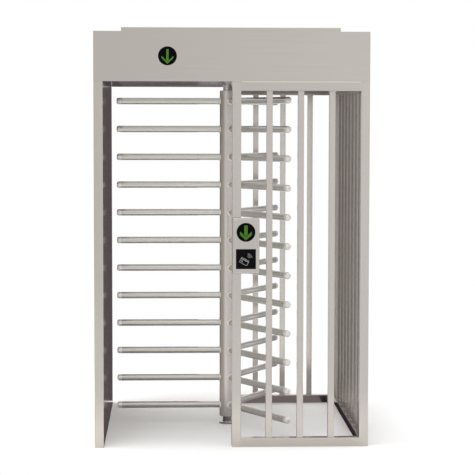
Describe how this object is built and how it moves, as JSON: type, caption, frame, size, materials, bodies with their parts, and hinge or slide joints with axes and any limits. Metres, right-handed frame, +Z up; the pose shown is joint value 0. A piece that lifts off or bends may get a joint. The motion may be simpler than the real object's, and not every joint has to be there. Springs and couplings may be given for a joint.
{
  "type": "full height turnstile",
  "caption": "Stainless full height turnstile: a closed side panel, a barred cage, a header box and a three-wing rotor of round arms that turns between a floor pivot and the header.",
  "frame": {"origin": "on the rotor's axis where the floor pivot's flange stands on the floor", "axes": "+Z up along the rotor's axis, -Y towards the entry side with the reader, +X towards the barred cage"},
  "size_m": [1.5, 1.546, 2.3],
  "materials": {
    "brushed_stainless": "satin brushed stainless sheet and tube",
    "polished_stainless": "bright polished stainless tube",
    "machined_steel": "bare machined steel, lightly oiled",
    "zinc_plate": "zinc plated steel",
    "cast_iron": "dark painted casting",
    "bronze": "turned bearing bronze",
    "black_lens": "gloss black lens",
    "grey_paint": "grey enamel"
  },
  "bodies": {
    "frame": {"left_front_post": "brushed_stainless", "left_rear_post": "brushed_stainless", "left_sill": "brushed_stainless", "left_head_rail": "brushed_stainless", "left_inner_skin": "brushed_stainless", "left_outer_skin": "brushed_stainless", "cage_front_left_post": "brushed_stainless", "cage_front_right_post": "brushed_stainless", "cage_rear_left_post": "brushed_stainless", "cage_rear_right_post": "brushed_stainless", "cage_front_head_rail": "brushed_stainless", "cage_rear_head_rail": "brushed_stainless", "cage_side_head_rail": "brushed_stainless", "cage_front_sill": "brushed_stainless", "cage_rear_sill": "brushed_stainless", "cage_side_sill": "brushed_stainless", "front_bar_1": "brushed_stainless", "front_bar_2": "brushed_stainless", "front_bar_3": "brushed_stainless", "rear_bar_1": "brushed_stainless", "rear_bar_2": "brushed_stainless", "rear_bar_3": "brushed_stainless", "side_bar_1": "brushed_stainless", "side_bar_2": "brushed_stainless", "side_bar_3": "brushed_stainless", "side_bar_4": "brushed_stainless", "side_bar_5": "brushed_stainless", "side_bar_6": "brushed_stainless", "side_bar_7": "brushed_stainless", "header_casing": "brushed_stainless", "header_ceiling": "brushed_stainless", "lid": "brushed_stainless", "reader_back_plate": "brushed_stainless", "reader_housing": "brushed_stainless", "header_arrow_display": "black_lens", "reader_arrow_display": "black_lens", "card_reader": "black_lens", "left_stiffener": "zinc_plate", "front_crossmember": "zinc_plate", "rear_crossmember": "zinc_plate", "bearing_plate": "zinc_plate", "entry_solenoid": "zinc_plate", "exit_solenoid": "zinc_plate", "power_supply": "zinc_plate", "upper_bearing_housing": "cast_iron", "damper_body": "cast_iron", "upper_bearing": "machined_steel", "floor_pivot": "machined_steel", "control_box": "grey_paint"},
    "rotor": {"rotor_column": "polished_stainless", "rotor_shaft": "machined_steel", "lower_bush": "bronze", "shaft_collar": "machined_steel", "ratchet_wheel": "machined_steel", "drive_gear": "machined_steel"},
    "pinion": {"damper_pinion": "machined_steel"},
    "entry_pawl_body": {"entry_pawl": "machined_steel"},
    "exit_pawl_body": {"exit_pawl": "machined_steel"},
    "entry_plunger_body": {"entry_plunger": "machined_steel"},
    "exit_plunger_body": {"exit_plunger": "machined_steel"}
  },
  "joints": [
    {"name": "rotor_spin", "type": "hinge", "parent": "frame", "child": "rotor", "pos_m": [0, 0, 1], "axis": [0, 0, 1], "continuous": true},
    {"name": "pinion_spin", "type": "hinge", "parent": "frame", "child": "pinion", "pos_m": [0.16, 0, 2.157], "axis": [0, 0, 1], "continuous": true},
    {"name": "entry_pawl_swing", "type": "hinge", "parent": "frame", "child": "entry_pawl_body", "pos_m": [-0.09, 0.112, 2.12], "axis": [0, 0, 1], "range_deg": [-10, 0]},
    {"name": "exit_pawl_swing", "type": "hinge", "parent": "frame", "child": "exit_pawl_body", "pos_m": [-0.09, -0.112, 2.12], "axis": [0, 0, 1], "range_deg": [0, 10]},
    {"name": "entry_plunger_slide", "type": "slide", "parent": "frame", "child": "entry_plunger_body", "axis": [1, 0, 0], "range_m": [0, 0.007], "stiffness_N_per_m": 120},
    {"name": "exit_plunger_slide", "type": "slide", "parent": "frame", "child": "exit_plunger_body", "axis": [1, 0, 0], "range_m": [0, 0.007], "stiffness_N_per_m": 120}
  ],
  "couplings": [
    {"joint": "pinion_spin", "follows": "rotor_spin", "ratio": -3},
    {"joint": "entry_plunger_slide", "follows": "entry_pawl_swing", "m_per_rad": -0.04},
    {"joint": "exit_plunger_slide", "follows": "exit_pawl_swing", "m_per_rad": 0.04}
  ]
}
